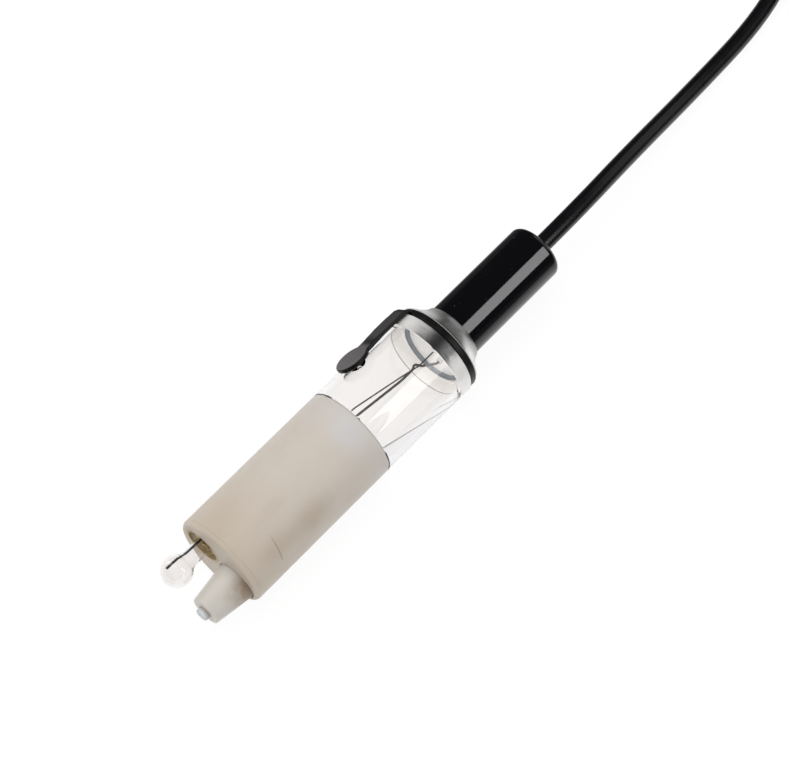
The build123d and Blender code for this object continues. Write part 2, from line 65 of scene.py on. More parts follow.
# Camera and lights
cameraView = {
    "place": (-0.150595, -0.145533, 0.46299),
    "towards": (0.31724, 0.29046, -0.90277),
    "lens": 118.78,
}
# angle round the electrode's axis, share along it, distance, size along and across, power, seen in gloss
lampRows = [
    ("keyPanel", 134.6, 0.37, 1.0, (0.17, 0.63), 1.5, True),
    ("topPanel", 84.0, 0.0, 1.1, (0.9, 0.9), 6.0, False),
    ("leftPanel", 38.0, -0.1, 0.7, (0.25, 1.1), 1.6, True),
    ("rightPanel", 162.0, -0.1, 0.7, (0.25, 0.5), 0.5, True),
    ("facePanel", 80.0, -0.85, 0.9, (0.5, 0.8), 2.0, False),
    ("farPanel", 100.0, 0.93, 0.9, (0.75, 1.0), 1.3, True),
]
lampAim = 60.0  # the station that every lamp points at
surroundings = {"diffuse": 0.2, "glossy": 0.03, "clear": 1.0}
floorValues = {
    "size": 3.0, "colour": (0.92, 0.92, 0.92), "shine": 1.03, "share": 0.9,
    # where its brightness in gloss fades out, to either side and past the sleeve
    "nearFade": (15.0, 55.0), "farFade": (0.0, 26.0), "stationFade": (45.0, 66.0),
}


def addCamera():
    turn = Vector(cameraView["towards"]).to_track_quat("-Z", "Y").to_euler()
    bpy.ops.object.camera_add(location=cameraView["place"], rotation=turn)
    camera = bpy.context.active_object
    camera.name = "photoCamera"
    camera.data.lens = cameraView["lens"]
    camera.data.sensor_width = 36
    camera.data.clip_start = 0.01
    bpy.context.scene.camera = camera


def addLamp(name, angle, lean, distance, size, power, shows):
    turnAngle = math.radians(angle)
    across = math.sqrt(1 - lean ** 2)
    way = Vector((lean, across * math.cos(turnAngle), across * math.sin(turnAngle)))
    place = spot(lampAim) + way * distance
    along = (Vector((1, 0, 0)) - way * way.x).normalized()
    turn = Matrix((along, way.cross(along), way)).transposed().to_euler()
    bpy.ops.object.light_add(type="AREA", location=place, rotation=turn)
    lamp = bpy.context.active_object
    lamp.name = name
    lamp.data.shape = "RECTANGLE"
    lamp.data.size, lamp.data.size_y = size
    lamp.data.energy = power
    lamp.visible_glossy = shows
    lamp.visible_transmission = False
    lamp.visible_camera = False


# Shader maths: sums and products on a Wire add Math nodes to its tree
class Wire:
    def __init__(self, tree, socket):
        self.tree = tree
        self.socket = socket

    def math(self, operation, *others):
        values = {0: self}
        for index, other in enumerate(others):
            values[index + 1] = other
        return addNode(self.tree, "Math", {"operation": operation}, values)

    def __add__(self, other):
        return self.math("ADD", other)

    def __sub__(self, other):
        return self.math("SUBTRACT", other)

    def __rsub__(self, other):
        return addNode(self.tree, "Math", {"operation": "SUBTRACT"}, {0: other, 1: self})

    def __mul__(self, other):
        return self.math("MULTIPLY", other)

    __radd__ = __add__
    __rmul__ = __mul__

    def clamp(self):
        return self.math("MINIMUM", 1.0).math("MAXIMUM", 0.0)


def addNode(tree, kind, settings, inputs, output=0):
    node = tree.nodes.new("ShaderNode" + kind)
    for name, value in settings.items():
        if name == "stops":
            elements = node.color_ramp.elements
            while len(elements) < len(value):
                elements.new(0.5)
            for element, (place, colour) in zip(elements, value):
                element.position = place
                element.color = (*colour, 1.0)
        else:
            setattr(node, name, value)
    for name, value in inputs.items():
        if isinstance(value, Wire):
            tree.links.new(value.socket, node.inputs[name])
        else:
            node.inputs[name].default_value = value
    return Wire(tree, node.outputs[output])


class Finish:
    def __init__(self, name):
        self.material = bpy.data.materials.new(name)
        self.material.use_nodes = True
        self.tree = self.material.node_tree
        self.tree.nodes.clear()
        coordinates = self.add("TexCoord", {}, {}, "Object")
        move = tuple(-value / mm for value in spot(0))
        toMm = {"Vector": coordinates, "Location": move, "Scale": (1 / mm,) * 3}
        self.place = self.add("Mapping", {}, toMm)
        parts = self.tree.nodes.new("ShaderNodeSeparateXYZ")
        self.tree.links.new(self.place.socket, parts.inputs[0])
        self.station, self.side, self.up = (Wire(self.tree, socket) for socket in parts.outputs)

    def add(self, kind, settings, inputs, output=0):
        return addNode(self.tree, kind, settings, inputs, output)

    def noise(self, scale, detail=3.0, roughness=0.5, stretch=(1, 1, 1), start=(0, 0, 0)):
        # scale is the number of lumps in a millimetre, and stretch makes them longer along an axis
        vector = self.add("Mapping", {}, {
            "Vector": self.place, "Location": start, "Scale": tuple(scale / share for share in stretch),
        })
        inputs = {"Vector": vector, "Scale": 1.0, "Detail": detail, "Roughness": roughness}
        return self.add("TexNoise", {}, inputs)

    def rise(self, value, low, high):  # 0 below low, 1 above high, smooth between
        inputs = {"Value": value, "From Min": low, "From Max": high}
        return self.add("MapRange", {"interpolation_type": "SMOOTHSTEP"}, inputs)

    def near(self, point, radius, stretch=(1, 1, 1)):  # 1 at a place, 0 at the radius and beyond
        scale = tuple(1 / share for share in stretch)
        vector = self.add("Mapping", {}, {
            "Vector": self.place,
            "Location": tuple(-value * share for value, share in zip(point, scale)),
            "Scale": scale,
        })
        length = self.add("VectorMath", {"operation": "LENGTH"}, {0: vector}, "Value")
        return 1 - self.rise(length, 0.0, radius)

    def stripe(self, apart, half, soft):  # 1 where a distance is small, 0 past the soft edge
        return 1 - self.rise(apart.math("ABSOLUTE"), half, soft)

    def radius(self):
        return (self.side * self.side + self.up * self.up).math("SQRT")

    def mix(self, share, first, second):
        inputs = {0: share}
        for index, colour in ((6, first), (7, second)):
            inputs[index] = colour if isinstance(colour, Wire) else (*colour, 1.0)
        return self.add("Mix", {"data_type": "RGBA"}, inputs, 2)

    def bump(self, height, depth):  # depth in millimetres
        return self.add("Bump", {}, {"Height": height, "Distance": depth * mm, "Strength": 1.0})

    def close(self, inputs):
        shader = self.add("BsdfPrincipled", {}, inputs)
        output = self.tree.nodes.new("ShaderNodeOutputMaterial")
        self.tree.links.new(shader.socket, output.inputs["Surface"])
        return self.material


def plain(colour):
    return (*colour, 1.0)


# Floor and surroundings: white to the camera, to gloss and to clear pieces, plain to the light
def addFloor():
    bpy.ops.mesh.primitive_plane_add(size=floorValues["size"], location=(0, 0, 0))
    floor = bpy.context.active_object
    floor.name = "floor"
    finish = Finish("paleFloor")
    tree = finish.tree
    light = tree.nodes.new("ShaderNodeLightPath")
    seen = Wire(tree, light.outputs["Is Camera Ray"]) + Wire(tree, light.outputs["Is Transmission Ray"])
    glossy = Wire(tree, light.outputs["Is Glossy Ray"])
    # in gloss the floor is bright only near the electrode, as in the photograph's black cap
    near = 1 - finish.rise(finish.side * -1, *floorValues["nearFade"])
    near = near * (1 - finish.rise(finish.side, *floorValues["farFade"]))
    near = (near + 1 - finish.rise(finish.station, *floorValues["stationFade"])).clamp()
    level = finish.mix((seen + glossy * near).clamp(), (0, 0, 0), (1, 1, 1))
    matt = finish.add("BsdfDiffuse", {}, {"Color": plain(floorValues["colour"])})
    bright = finish.add("Emission", {}, {"Color": level, "Strength": floorValues["shine"]})
    share = (seen + glossy).clamp() * floorValues["share"]
    both = finish.add("MixShader", {}, {0: share, 1: matt, 2: bright})
    output = tree.nodes.new("ShaderNodeOutputMaterial")
    tree.links.new(both.socket, output.inputs["Surface"])
    floor.data.materials.append(finish.material)


def addSurroundings():
    world = bpy.data.worlds.new("studio")
    bpy.context.scene.world = world
    world.use_nodes = True
    tree = world.node_tree
    tree.nodes.clear()
    light = tree.nodes.new("ShaderNodeLightPath")
    camera = Wire(tree, light.outputs["Is Camera Ray"])
    clear = Wire(tree, light.outputs["Is Transmission Ray"])
    glossy = Wire(tree, light.outputs["Is Glossy Ray"])
    seen = (camera + clear).clamp()
    hidden = glossy * surroundings["glossy"] + (1 - glossy) * surroundings["diffuse"]
    strength = seen * surroundings["clear"] + (1 - seen) * hidden
    shade = addNode(tree, "Background", {}, {"Color": plain((1, 1, 1)), "Strength": strength})
    output = tree.nodes.new("ShaderNodeOutputWorld")
    tree.links.new(shade.socket, output.inputs["Surface"])


addCamera()
for lampRow in lampRows:
    addLamp(*lampRow)
addFloor()
addSurroundings()
bpy.context.scene.view_settings.view_transform = "Standard"
print("stage: camera, lights and floor")


# Modelling helpers
def begin():
    if bpy.context.object and bpy.context.object.mode != "OBJECT":
        bpy.ops.object.mode_set(mode="OBJECT")
    bpy.ops.object.select_all(action="DESELECT")


def only(piece):
    begin()
    piece.select_set(True)
    bpy.context.view_layer.objects.active = piece


def finished(piece, name, material, body, slotName, *replaced):
    # the place goes into the mesh, so that the object sits at the origin, unturned
    only(piece)
    bpy.ops.object.transform_apply(location=True, rotation=True, scale=True)
    piece.name = name
    piece.data.materials.clear()
    piece.data.materials.append(material)
    if body:
        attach(piece, body)
    if replaced:
        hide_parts(*replaced)
    return piece


def applied(piece, kind, **settings):
    only(piece)
    modifier = piece.modifiers.new(kind.lower(), kind)
    for name, value in settings.items():
        setattr(modifier, name, value)
    bpy.ops.object.modifier_apply(modifier=modifier.name)


def turned(outline, steps, closed=True, centre=(0.0, 0.0)):
    # draws an outline of (station, radius) corners point by point and spins it about the axis
    begin()
    start = spot(outline[0][0], centre[0], centre[1] + outline[0][1])
    bpy.ops.mesh.primitive_plane_add(size=mm, location=start)
    piece = bpy.context.active_object
    bpy.ops.object.transform_apply(location=True)
    bpy.ops.object.mode_set(mode="EDIT")
    bpy.ops.mesh.select_all(action="SELECT")
    bpy.ops.mesh.merge(type="CENTER")
    corners = list(outline) + ([outline[0]] if closed else [])
    for before, after in zip(corners, corners[1:]):
        step = ((after[0] - before[0]) * mm, 0.0, (after[1] - before[1]) * mm)
        bpy.ops.mesh.extrude_region_move(TRANSFORM_OT_translate={"value": step})
    bpy.ops.mesh.select_all(action="SELECT")
    bpy.ops.mesh.remove_doubles(threshold=0.001 * mm)
    bpy.ops.mesh.select_all(action="SELECT")
    bpy.ops.mesh.spin(steps=steps, angle=2 * math.pi, center=spot(0, *centre), axis=(1, 0, 0))
    bpy.ops.mesh.select_all(action="SELECT")
    bpy.ops.mesh.remove_doubles(threshold=0.001 * mm)
    bpy.ops.mesh.normals_make_consistent(inside=False)
    bpy.ops.object.mode_set(mode="OBJECT")
    return piece


def smooth(piece, degrees=30):
    only(piece)
    bpy.ops.object.shade_smooth_by_angle(angle=math.radians(degrees))


def arc(centre, radius, start, end, steps):  # points of an arc in (station, radius), angles in degrees
    points = []
    for step in range(steps + 1):
        angle = math.radians(start + (end - start) * step / steps)
        points.append((centre[0] + radius * math.cos(angle), centre[1] + radius * math.sin(angle)))
    return points


# Grey sleeve: satin plastic, yellowed at its low end and stained round its two holes
sleeveValues = {
    "grey": (0.60, 0.54, 0.475), "cool": (0.60, 0.565, 0.53), "yellowed": (0.545, 0.47, 0.385),
    "stain": (0.36, 0.26, 0.16), "blueGrey": (0.60, 0.60, 0.61), "recess": (0.26, 0.19, 0.09),
    "recessGrey": (0.30, 0.30, 0.30), "ring": (0.38, 0.28, 0.10), "scratch": (0.16, 0.10, 0.06),
    "yellowFade": (2.0, 30.0), "coolFade": (32.0, 39.0), "patches": (0.52, 0.75), "patchShare": 0.10,
    # place, radius, colour and share of the tint round each hole
    "tints": [
        ((0.0, 4.2, 1.4), 5.2, (0.52, 0.40, 0.22), 0.30),
        ((0.0, -4.4, -1.4), 6.2, (0.50, 0.40, 0.26), 0.20),
    ],
    # place, radius and share of each brown cloud
    "clouds": [((17.0, -8.2, 5.7), 5.0, 0.38), ((8.2, -7.9, 6.1), 4.0, 0.25), ((4.0, 2.5, 9.6), 5.0, 0.14)],
    "coolPatch": (33.0, -2.5, 9.6), "coolRadius": 6.0, "coolShare": 0.7,
    "recessSide": 4.23, "recessUp": 1.375, "wall": (3.63, 3.75), "wallStart": (0.1, 0.9),
    "greySide": (4.2, 7.0), "ringEdge": (3.75, 4.5), "ringEnd": (0.2, 0.6),
    "scratchStart": 7.1, "scratchSlope": 0.144, "scratchWidth": (0.02, 0.16), "scratchShare": 0.6,
    "rimStart": 0.75, "rimWidth": (0.03, 0.2), "roughness": 0.46, "paintedGlow": 0.22, "grain": 0.012,
}


def sleeveFinish():
    values = sleeveValues
    finish = Finish("sleevePlastic")
    cloud = finish.noise(0.12, 4.0, 0.6)
    wash = finish.noise(0.35, 3.0, 0.55, (3, 1, 1), (7, 3, 1))
    low = 1 - finish.rise(finish.station + cloud * 14, *values["yellowFade"])
    colour = finish.mix(low, values["grey"], values["yellowed"])
    high = finish.rise(finish.station + cloud * 8, *values["coolFade"])
    colour = finish.mix(high * 0.8, colour, values["cool"])
    patches = finish.rise(wash, *values["patches"]) * values["patchShare"]
    colour = finish.mix(patches, colour, values["stain"])
    for place, radius, tint, share in values["tints"]:
        colour = finish.mix(finish.near(place, radius, (0.8, 1, 1)) * share, colour, tint)
    for place, radius, share in values["clouds"]:
        patch = finish.near(place, radius, (1.7, 1, 1)) * (cloud + 0.5)
        colour = finish.mix(patch * share, colour, values["stain"])
    cool = finish.near(values["coolPatch"], values["coolRadius"]) * values["coolShare"]
    colour = finish.mix(cool, colour, values["blueGrey"])
    # brown wall of the recess, grey at its far side, with a stained edge
    sideways = (finish.side - values["recessSide"]).math("POWER", 2.0)
    upwards = (finish.up - values["recessUp"]).math("POWER", 2.0)
    apart = (sideways + upwards).math("SQRT")
    within = (1 - finish.rise(apart, *values["wall"])) * finish.rise(finish.station, *values["wallStart"])
    shade = finish.mix(finish.rise(finish.side, *values["greySide"]), values["recess"], values["recessGrey"])
    colour = finish.mix(within * (wash * 0.9 + 0.3), colour, shade)
    edge = 1 - finish.rise(apart, *values["ringEdge"])
    edge = edge * (1 - finish.rise(finish.station, *values["ringEnd"]))
    colour = finish.mix(edge * (cloud + 0.35), colour, values["ring"])
    # one thin scratch
    apart = finish.station - values["scratchStart"] - finish.up * values["scratchSlope"] + (cloud - 0.5) * 0.5
    scratch = finish.stripe(apart, *values["scratchWidth"]) * finish.rise(finish.side * -1, 5.0, 7.5)
    scratch = scratch * finish.rise(finish.up, 3.2, 3.8)
    colour = finish.mix(scratch * values["scratchShare"], colour, values["scratch"])
    # faint line where the end face's rounding begins
    rim = finish.stripe(finish.station - values["rimStart"] - cloud * 0.6, *values["rimWidth"])
    rim = rim * finish.rise(finish.up, 1.0, 3.0)
    colour = finish.mix(rim * (wash * 0.5), colour, values["stain"])
    return finish.close({
        "Base Color": colour,
        "Roughness": wash * 0.12 + values["roughness"] - 0.06,
        "Subsurface Weight": 0.12,
        "Subsurface Radius": (1.2, 1.0, 0.8),
        "Subsurface Scale": mm,
        # painted light: the recess wall glows in its own colour, as if lit inside the recess
        "Emission Color": finish.mix(within, (0, 0, 0), shade),
        "Emission Strength": values["paintedGlow"],
        "IOR": 1.49,
        "Normal": finish.bump(finish.noise(3.0, 2.0, 0.6), values["grain"]),
    })


# Junction cone and its porous pin
coneValues = {
    "body": (0.60, 0.57, 0.52), "stain": (0.27, 0.19, 0.12), "pin": (0.64, 0.66, 0.68),
    "foot": (-4.5, 1.5), "side": (4.0, 7.4), "pinFoot": (-9.0, -7.6), "roughness": 0.33,
}


def coneFinish():
    finish = Finish("conePlastic")
    cloud = finish.noise(0.5, 3.0, 0.6)
    foot = finish.rise(finish.station + cloud * 3.0, *coneValues["foot"])
    side = finish.rise(finish.side * -1.0, *coneValues["side"])
    colour = finish.mix(foot * side * (cloud * 0.4 + 0.75), coneValues["body"], coneValues["stain"])
    return finish.close({
        "Base Color": colour,
        "Roughness": cloud * 0.1 + coneValues["roughness"],
        "Subsurface Weight": 0.25,
        "Subsurface Radius": (1.5, 1.3, 1.0),
        "Subsurface Scale": mm,
        "Normal": finish.bump(finish.noise(4.0, 2.0), 0.008),
    })


def ceramicFinish():
    finish = Finish("porousCeramic")
    grain = finish.noise(9.0, 3.0, 0.7)
    foot = finish.rise(finish.station + grain, *coneValues["pinFoot"])
    colour = finish.mix(foot * 0.7, coneValues["pin"], coneValues["stain"])
    return finish.close({
        "Base Color": colour,
        "Roughness": 0.7,
        "Normal": finish.bump(grain, 0.03),
    })


# Clear pieces
clearValues = {
    "glass": (0.94, 0.92, 0.91), "window": (0.965, 0.95, 0.94), "glassIor": 1.5, "windowIor": 1.46,
    "wetted": (0.87, 0.87, 0.88), "tide": (0.20, 0.19, 0.18),
    # height of the dried line: where it starts, its fall and its curve along the window
    "tideStation": 36.19, "tideHeight": 5.53, "tideFall": 0.2414, "tideCurve": 0.000437,
    "tideWidth": (0.08, 0.24), "tideSkin": (9.85, 9.95), "tideSide": (5.0, 6.0),
}


def clearFinish(name, colour, ior, roughness, tide=False):
    values = clearValues
    finish = Finish(name)
    haze = finish.noise(0.6, 2.0)
    tint = plain(colour)
    if tide:
        # dried line of the old filling, which falls along the window's side
        along = finish.station - values["tideStation"]
        level = values["tideHeight"] - along * values["tideFall"]
        level = level - along * along * along * values["tideCurve"]
        wall = finish.rise(finish.radius(), *values["tideSkin"])
        wall = wall * finish.rise(finish.side * -1, *values["tideSide"])
        away = finish.up - level
        line = finish.stripe(away, *values["tideWidth"]) * wall
        below = (1 - finish.rise(away, -0.1, 0.1)) * wall
        tint = finish.mix(below, colour, values["wetted"])
        tint = finish.mix(line, tint, values["tide"])
    return finish.close({
        "Base Color": tint,
        "Roughness": haze * roughness,
        "Transmission Weight": 1.0,
        "IOR": ior,
    })


# Metals, rubbers and plastics
def silverFinish(name, colour, roughness):
    finish = Finish(name)
    tarnish = finish.noise(2.0, 3.0, 0.6, (3, 1, 1))
    shade = finish.mix(finish.rise(tarnish, 0.35, 0.65), colour, tuple(0.4 * share for share in colour))
    return finish.close({"Base Color": shade, "Metallic": 1.0, "Roughness": tarnish * 0.2 + roughness})


resinColours = {"dark": (0.05, 0.035, 0.015), "middle": (0.18, 0.125, 0.05), "pale": (0.46, 0.34, 0.15)}


def resinFinish():
    finish = Finish("amberResin")
    lumps = finish.noise(1.3, 4.0, 0.7)
    stops = [(0.36, resinColours["dark"]), (0.48, resinColours["middle"]), (0.62, resinColours["pale"])]
    colour = finish.add("ValToRGB", {"stops": stops}, {"Fac": lumps})
    return finish.close({
        "Base Color": colour,
        "Roughness": 0.16,
        "Normal": finish.bump(lumps, 0.25),
        # painted light: the resin glows in its own colour, as if lit inside the recess
        "Emission Color": colour,
        "Emission Strength": 0.35,
    })


sealColours = {"dark": (0.035, 0.02, 0.01), "pale": (0.12, 0.07, 0.03)}


def sealFinish():
    finish = Finish("darkSeal")
    colour = finish.mix(finish.noise(2.0, 3.0), sealColours["dark"], sealColours["pale"])
    return finish.close({"Base Color": colour, "Roughness": 0.6})


def mattFinish(name, colour, roughness, grain=0.01, worn=0.15, paintedGlow=0.0):
    finish = Finish(name)
    cloud = finish.noise(0.7, 3.0, 0.6)
    shade = finish.mix(cloud * worn, colour, tuple(0.6 * share for share in colour))
    return finish.close({
        "Base Color": shade,
        "Roughness": cloud * 0.12 + roughness - 0.06,
        "Normal": finish.bump(finish.noise(5.0, 2.0), grain),
        # painted light: the surface can glow in its own colour
        "Emission Color": shade,
        "Emission Strength": paintedGlow,
    })


collarValues = {
    "metal": (0.80, 0.79, 0.77), "worn": (0.62, 0.60, 0.58), "inside": (0.86, 0.85, 0.83),
    "paintedGlow": (0.50, 0.495, 0.485), "pale": (0.92, 0.91, 0.89), "dark": (0.12, 0.12, 0.125),
    "shade": (0.22, 0.22, 0.22), "wall": (9.55, 9.65), "lowerWall": 0.3, "roughness": 0.24, "lines": 0.08,
    # the shoulder's start, then the sides where the metal has a painted pale reflection, and the strip with a
    # painted dark reflection
    "shoulder": (61.4, 61.6), "farPaintedPale": (0.0, 5.5), "nearPaintedPale": (5.6, 7.6), "paintedPaleShare": 0.75,
    "paintedDarkStart": (-0.6, 2.4), "paintedDarkEnd": (5.2, 6.8), "paintedDarkShare": 0.85,
    "foot": (6.4, 8.6), "footShadeShare": 0.7,
}


def collarFinish():
    # fine lines of turning run round the collar, and its inner wall is white and glows with painted light
    values = collarValues
    finish = Finish("turnedMetal")
    radius = finish.radius()
    under = 1 - finish.rise(finish.up, -2.0, 2.0)
    outside = finish.rise(radius - under * values["lowerWall"], *values["wall"])
    lines = finish.noise(5.0, 2.0, 0.8, (1, 60, 60))
    cloud = finish.noise(0.4, 3.0, 0.6)
    colour = finish.mix(cloud * 0.4, values["metal"], values["worn"])
    shoulder = finish.rise(finish.station, *values["shoulder"])
    skirt = 1 - shoulder
    # painted reflections: the metal is painted pale at both sides, and a painted dark reflection runs in a
    # streaked strip along its top
    near = finish.side * -1
    paintedPale = (finish.rise(finish.side, *values["farPaintedPale"]) + finish.rise(near, *values["nearPaintedPale"])).clamp()
    streaked = near + finish.noise(1.2, 3.0, 0.7, (4, 1, 1)) - 0.5
    tarnish = finish.rise(streaked, *values["paintedDarkStart"])
    tarnish = tarnish * (1 - finish.rise(streaked, *values["paintedDarkEnd"]))
    colour = finish.mix(paintedPale, colour, values["pale"])
    colour = finish.mix(tarnish * skirt * values["paintedDarkShare"], colour, values["dark"])
    # painted shade: the shoulder is painted darker towards its foot, where it falls into the cap
    foot = shoulder * (1 - finish.rise(radius, *values["foot"]))
    colour = finish.mix(foot * values["footShadeShare"], colour, values["shade"])
    solid = (outside + shoulder).clamp()
    return finish.close({
        "Base Color": finish.mix(solid, values["inside"], colour),
        # the metal is less metallic where its painted pale reflection is
        "Metallic": solid * (1 - paintedPale * values["paintedPaleShare"]),
        # painted light: the white inner wall glows, as if lit inside the chamber
        "Emission Color": finish.mix(solid, values["paintedGlow"], (0, 0, 0)),
        "Emission Strength": 1.0,
        "Roughness": lines * 0.12 + values["roughness"],
        "Normal": finish.bump(lines * (skirt * 0.8 + 0.2), values["lines"]),
    })


capValues = {
    "black": (0.003, 0.003, 0.004), "dust": (0.30, 0.30, 0.31), "roughness": 0.045, "specks": (0.80, 0.84),
    "ior": 1.55,
}


def capFinish():
    finish = Finish("capPlastic")
    specks = finish.rise(finish.noise(3.2, 1.0, 0.5, (1, 1, 1), (3, 9, 4)), *capValues["specks"])
    return finish.close({
        "Base Color": finish.mix(specks * 0.8, capValues["black"], capValues["dust"]),
        "Roughness": specks * 0.5 + finish.noise(0.3) * 0.05 + capValues["roughness"],
        "IOR": capValues["ior"],
        "Normal": finish.bump(finish.noise(0.25, 1.0), 0.012),
    })


# The rubber has a painted grey sheen on top of the stopper's disc and a little on top of its strap, and a
# faint grey bloom at random
rubberValues = {
    "black": (0.003, 0.003, 0.0035), "sheenAndBloom": (0.105, 0.097, 0.10), "roughness": 0.34, "specular": 0.3,
    "discTop": (11.0, 11.08), "discEnd": (48.6, 50.0), "strapTop": (11.15, 11.25), "strapSheenShare": 0.45,
}


def rubberFinish():
    values = rubberValues
    finish = Finish("blackRubber")
    cloud = finish.noise(0.8, 3.0, 0.6)
    height = finish.side * math.cos(stopperAngle) + finish.up * math.sin(stopperAngle)
    disc = finish.rise(height, *values["discTop"]) * (1 - finish.rise(finish.station, *values["discEnd"]))
    strap = finish.rise(height, *values["strapTop"]) * values["strapSheenShare"]
    # painted sheen on the tops of the disc and the strap, plus a faint random bloom
    sheenAndBloom = (disc + strap + finish.rise(cloud, 0.4, 0.8) * 0.05).clamp()
    return finish.close({
        "Base Color": finish.mix(sheenAndBloom, values["black"], values["sheenAndBloom"]),
        "Roughness": cloud * 0.12 + values["roughness"],
        "Specular IOR Level": values["specular"],
        "Normal": finish.bump(finish.noise(6.0, 2.0), 0.006),
    })


cableValues = {
    "black": (0.002, 0.002, 0.003), "worn": (0.007, 0.007, 0.008), "roughness": 0.22, "diameter": 3.7,
}


def cableFinish():
    finish = Finish("cableJacket")
    cloud = finish.noise(0.6, 3.0, 0.6)
    return finish.close({
        "Base Color": finish.mix(cloud * 0.5, cableValues["black"], cableValues["worn"]),
        "Roughness": cloud * 0.1 + cableValues["roughness"],
        "Normal": finish.bump(finish.noise(4.0, 2.0), 0.008),
    })


def platedFinish(name, colour, roughness):
    finish = Finish(name)
    cloud = finish.noise(0.7, 3.0, 0.6)
    shade = finish.mix(cloud * 0.3, colour, tuple(0.75 * share for share in colour))
    return finish.close({
        "Base Color": shade,
        "Metallic": 1.0,
        "Roughness": cloud * 0.15 + roughness - 0.05,
        "Normal": finish.bump(finish.noise(3.0, 2.0), 0.004),
    })


rubber = rubberFinish()
white = (0.88, 0.87, 0.85)
whitePlastic = mattFinish("whitePlastic", white, 0.4)
plated = platedFinish("nickelPlate", (0.72, 0.71, 0.68), 0.22)
lead = silverFinish("leadSilver", (0.13, 0.125, 0.12), 0.45)
jacket = cableFinish()
finishOf = {
    "lower_sleeve": sleeveFinish(),
    "inner_electrode_wire": silverFinish("darkSilver", (0.012, 0.012, 0.012), 0.45),
    "stem_bung": rubber,
    "junction_cone": coneFinish(),
    "junction_pin": ceramicFinish(),
    "junction_seal": sealFinish(),
    "reference_wire": lead,
    "signal_lead": lead,
    "lead_bush": whitePlastic,
    # painted light: the stopper's white glows, as if lit inside the chamber
    "top_stopper": mattFinish("chamberWhite", white, 0.4, paintedGlow=0.32),
    "collar_gasket": mattFinish("gasketRubber", (0.30, 0.34, 0.38), 0.6),
    "cap": capFinish(),
    "hank_tie_near": mattFinish("tieWeave", (0.02, 0.02, 0.022), 0.7, 0.05),
    "plug_boot": rubber,
    "plug_nut": plated,
    "plug_body": plated,
    "plug_insulator": whitePlastic,
    "contact_pin": platedFinish("giltBrass", (0.85, 0.62, 0.25), 0.2),
    "bayonet_ring": plated,
}
finishOf["hank_tie_far"] = finishOf["hank_tie_near"]
for nodeName, material in finishOf.items():
    nodes[nodeName].data.materials.clear()
    nodes[nodeName].data.materials.append(material)
print("finishes: on the CAD pieces")

# Glass bulb: blown in one piece with its stem, with a hollow curve where they meet
bulbValues = {
    "across": 4.45, "centre": -6.8, "ball": 3.12, "stem": 1.75, "wall": 0.25, "neck": 2.0, "top": 24.0,
    "steps": 96, "ballSteps": 40, "neckSteps": 10,
}


def blownLine(ball, stem, values):
    # from the pole of the ball to the top of the stem
    reach = math.sqrt((ball + values["neck"]) ** 2 - (stem + values["neck"]) ** 2)
    lean = math.degrees(math.atan2(stem + values["neck"], reach))
    line = arc((values["centre"], 0.0), ball, 180, lean, values["ballSteps"])
    hollow = (values["centre"] + reach, stem + values["neck"])
    line += arc(hollow, values["neck"], 180 + lean, 270, values["neckSteps"])[1:]
    return line + [(values["top"], stem)]


def addBulb(values):
    outer = blownLine(values["ball"], values["stem"], values)
    inner = blownLine(values["ball"] - values["wall"], values["stem"] - values["wall"], values)
    centre = (values["across"] * math.cos(pairAngle), values["across"] * math.sin(pairAngle))
    piece = turned(outer + inner[::-1], values["steps"], closed=False, centre=centre)
    smooth(piece, 40)
    glass = clearFinish("bulbGlass", clearValues["glass"], clearValues["glassIor"], 0.02)
    finished(piece, "glassBulb", glass, "electrode", "electrode_glass", "glass_electrode")
    piece.visible_shadow = False


addBulb(bulbValues)

# Resin in the recess round the stem, with an uneven skin
resinValues = {
    "start": 0.8, "end": 2.95, "inner": 1.78, "outer": 3.55, "steps": 96, "rows": 14, "lump": 0.0011,
    "depth": 0.5,
}


def addResin(values):
    rows = values["rows"]
    width = values["outer"] - values["inner"]
    skin = [(values["start"], values["inner"] + width * step / rows) for step in range(rows + 1)]
    centre = (bulbValues["across"] * math.cos(pairAngle), bulbValues["across"] * math.sin(pairAngle))
    outline = skin + [(values["end"], values["outer"]), (values["end"], values["inner"])]
    piece = turned(outline, values["steps"], centre=centre)
    texture = bpy.data.textures.new("resinLumps", "CLOUDS")
    texture.noise_scale = values["lump"]
    strength = values["depth"] * mm
    applied(piece, "DISPLACE", texture=texture, strength=strength, mid_level=0.5, direction="X")
    smooth(piece, 60)
    finished(piece, "recessResin", resinFinish(), "electrode", "amber_resin", "stem_potting")


addResin(resinValues)
print("pieces: bulb and resin")

# Clear window tube with a spigot at each end and the filler hole
windowValues = {
    "start": 36.2, "end": 56.7, "lower": 32.2, "upper": 59.5, "outer": 10.0, "spigot": 9.2, "inner": 8.5,
    "bevel": 0.15, "steps": 160, "holeStation": 45.4, "hole": 3.9,
}


